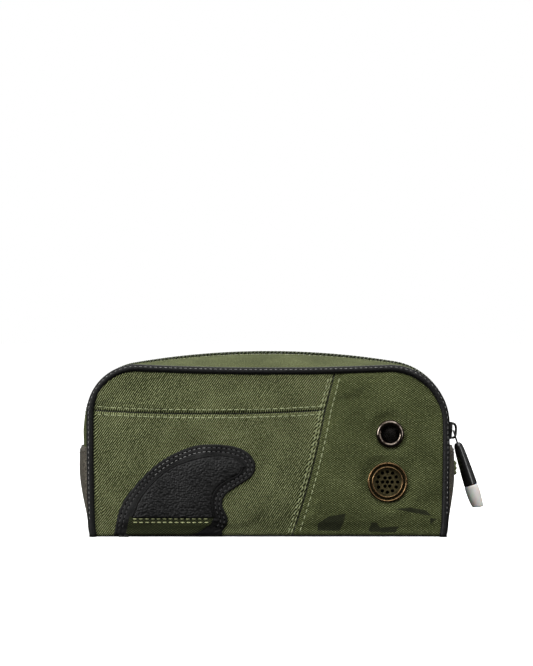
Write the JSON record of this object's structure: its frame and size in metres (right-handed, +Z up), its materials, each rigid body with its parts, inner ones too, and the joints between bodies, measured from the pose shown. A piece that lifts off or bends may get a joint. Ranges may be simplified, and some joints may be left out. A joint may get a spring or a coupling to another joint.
{
  "type": "zipped wash pouch",
  "caption": "Boxy zipped canvas wash pouch with leather piping and end panels, a fin-shaped leather patch, metal eyelet and vent, and a swinging zip pull.",
  "frame": {"origin": "middle of the base, on the surface that the pouch stands on", "axes": "+X along the pouch towards the zip pull, +Y from the front panel to the back panel, +Z up"},
  "size_m": [0.255, 0.0896, 0.1143],
  "materials": {
    "twill": "coarse olive twill",
    "canvas": "plain-weave olive canvas",
    "leather": "pebbled black coated leather",
    "foam": "closed-cell foam",
    "lining": "smooth woven lining",
    "binding": "ribbed binding tape",
    "zip_tape": "woven zip tape",
    "zip_coil": "moulded coil",
    "piping_cord": "extruded cord",
    "gunmetal": "polished dark bronze plating",
    "antique_brass": "rubbed antique plating",
    "black_mesh": "fine black mesh",
    "black_metal": "black electrocoat",
    "pull_cord": "thin braided cord",
    "grip_rubber": "satin moulded rubber",
    "tip_silicone": "milky soft cap"
  },
  "bodies": {
    "pouch": {"front_panel_upper": "twill", "front_panel_lower": "twill", "front_panel_side": "canvas", "back_panel": "canvas", "base_panel": "leather", "zip_strip_front": "canvas", "zip_strip_back": "canvas", "end_panel_left": "leather", "end_panel_right": "leather", "foam_front": "foam", "foam_back": "foam", "foam_base": "foam", "foam_strip_front": "foam", "foam_strip_back": "foam", "lining_front": "lining", "lining_back": "lining", "lining_base": "lining", "lining_strip_front": "lining", "lining_strip_back": "lining", "seam_binding_front": "binding", "seam_binding_back": "binding", "zip_tape_front": "zip_tape", "zip_tape_back": "zip_tape", "zip_coil_front": "zip_coil", "zip_coil_back": "zip_coil", "piping_front": "leather", "piping_back": "leather", "piping_cord_front": "piping_cord", "piping_cord_back": "piping_cord", "fin_patch": "leather", "fin_pad": "leather", "fin_hem": "twill", "eyelet_rim": "gunmetal", "eyelet_mesh": "black_mesh", "eyelet_washer": "gunmetal", "vent_rim": "antique_brass", "vent_disc": "antique_brass", "vent_washer": "antique_brass", "side_tab": "zip_tape"},
    "slider": {"slider_body": "black_metal", "slider_bridge": "black_metal"},
    "pull": {"pull_loop": "pull_cord", "pull_grip": "grip_rubber", "pull_tip": "tip_silicone"}
  },
  "joints": [
    {"name": "slider_travel", "type": "hinge", "parent": "pouch", "child": "slider", "pos_m": [0.074, 0, 0.06751], "axis": [0, -1, 0], "range_deg": [0, 78]},
    {"name": "pull_swing", "type": "hinge", "parent": "slider", "child": "pull", "pos_m": [0.11786, 0, 0.06398], "axis": [0, -1, 0], "range_deg": [-1.5, 150]}
  ]
}
